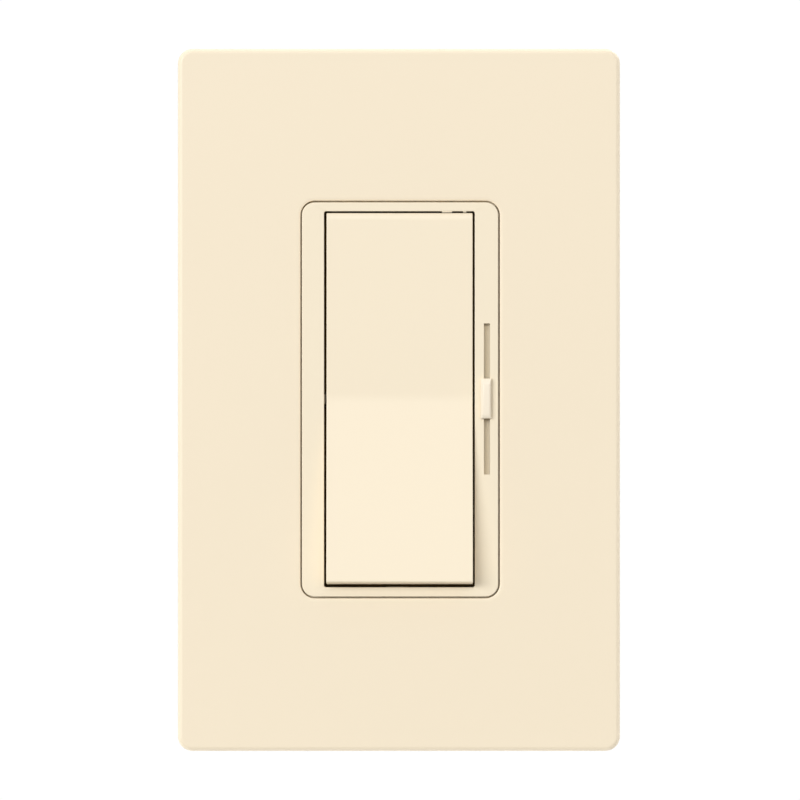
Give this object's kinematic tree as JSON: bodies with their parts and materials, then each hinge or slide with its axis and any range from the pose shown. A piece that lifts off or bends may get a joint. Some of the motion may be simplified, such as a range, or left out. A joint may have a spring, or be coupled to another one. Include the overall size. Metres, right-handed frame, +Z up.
{
  "type": "dimmer slide switch",
  "caption": "Flush wall dimmer with a large rocker paddle, a narrow slide control at its right and a screwless ivory cover plate.",
  "frame": {"origin": "On the wall plane, at the bottom edge of the cover plate and on the centre line of the bezel. The middle of the bezel is 59.62 mm above it.", "axes": "+X to the right seen from the front, +Y into the wall, +Z up. The device faces -Y."},
  "size_m": [0.075, 0.0498, 0.1191],
  "materials": {
    "cover_ivory": "moulded, satin gloss",
    "bezel_ivory": "moulded, satin gloss",
    "paddle_ivory": "moulded, glossy",
    "knob_ivory": "moulded, glossy",
    "carrier_beige": "moulded, satin",
    "adapter_white": "moulded, matt",
    "screw_ivory": "painted head",
    "zinc_steel": "zinc plated",
    "fibre": "pressed fibre",
    "yoke_aluminium": "stamped",
    "case_dark": "moulded, fine texture",
    "relief_black": "soft",
    "label_silver": "blank label",
    "board_green": "solder mask",
    "switch_cream": "moulded",
    "brass": "stamped",
    "bronze": "stamped",
    "contact_silver": "silver",
    "acetal": "moulded",
    "spring_steel": "drawn wire",
    "can_steel": "drawn can",
    "phenolic": "laminate",
    "lever_black": "moulded",
    "epoxy_black": "moulded epoxy",
    "tin": "tinned",
    "pad_grey": "soft pad",
    "rivet_aluminium": "bright",
    "ferrite": "iron powder, painted",
    "copper": "enamelled copper",
    "capacitor_red": "dipped",
    "capacitor_ochre": "dipped",
    "resistor_tan": "lacquered",
    "diac_blue": "bead",
    "pvc_black": "insulation",
    "pvc_red": "insulation",
    "pvc_blue": "insulation",
    "pvc_green": "insulation"
  },
  "bodies": {
    "base": {"adapter_plate": "adapter_white", "adapter_screw_bottom": "screw_ivory", "adapter_screw_top": "screw_ivory", "bezel": "bezel_ivory", "box_screw_bottom": "zinc_steel", "box_screw_top": "zinc_steel", "choke_core": "ferrite", "choke_winding": "copper", "circuit_board": "board_green", "common_terminal": "brass", "cover_plate": "cover_ivory", "diac": "diac_blue", "film_capacitor": "capacitor_red", "fixed_contact_lower": "brass", "fixed_contact_upper": "brass", "ground_rivet": "brass", "ground_terminal": "tin", "housing_screw_1": "zinc_steel", "housing_screw_2": "zinc_steel", "housing_screw_3": "zinc_steel", "housing_screw_4": "zinc_steel", "lead_black": "pvc_black", "lead_black_end": "copper", "lead_blue": "pvc_blue", "lead_blue_end": "copper", "lead_green": "pvc_green", "lead_green_end": "copper", "lead_red": "pvc_red", "lead_red_end": "copper", "pot_element": "phenolic", "pot_housing": "can_steel", "rating_label": "label_silver", "rear_housing": "case_dark", "resistor_1": "resistor_tan", "resistor_2": "resistor_tan", "screw_retainer_bottom": "fibre", "screw_retainer_top": "fibre", "strain_relief": "relief_black", "switch_base": "switch_cream", "thermal_pad": "pad_grey", "timing_capacitor": "capacitor_ochre", "triac_body": "epoxy_black", "triac_leg_left": "tin", "triac_leg_right": "tin", "triac_rivet": "rivet_aluminium", "triac_tab": "tin", "yoke": "yoke_aluminium"},
    "paddle": {"paddle": "paddle_ivory", "plunger_spring": "spring_steel"},
    "plunger": {"plunger": "acetal"},
    "contact_arm": {"contact_arm": "bronze", "contact_button_upper": "contact_silver", "contact_button_lower": "contact_silver"},
    "slider": {"slider_knob": "knob_ivory", "slider_carrier": "carrier_beige"},
    "wiper": {"pot_lever": "lever_black", "pot_wiper": "bronze"}
  },
  "joints": [
    {"name": "paddle_rock", "type": "hinge", "parent": "base", "child": "paddle", "pos_m": [0, -0.0029, 0.05962], "axis": [1, 0, 0], "range_deg": [0, 6.4]},
    {"name": "plunger_slide", "type": "slide", "parent": "paddle", "child": "plunger", "axis": [0, -0.9984, 0.0558], "range_m": [0, 0.0006], "stiffness_N_per_m": 300, "springref_m": -0.001, "deforming": ["plunger_spring"]},
    {"name": "contact_rock", "type": "hinge", "parent": "base", "child": "contact_arm", "pos_m": [0, 0.0083, 0.05962], "axis": [1, 0, 0], "range_deg": [-9.6, 0]},
    {"name": "slider_slide", "type": "slide", "parent": "base", "child": "slider", "axis": [0, 0, 1], "range_m": [-0.0097, 0.0095]},
    {"name": "wiper_slide", "type": "slide", "parent": "base", "child": "wiper", "axis": [0, 0, 1], "range_m": [-0.0097, 0.0095]}
  ],
  "couplings": [
    {"joint": "contact_rock", "follows": "paddle_rock", "ratio": -1.5},
    {"joint": "wiper_slide", "follows": "slider_slide", "ratio": 1}
  ]
}
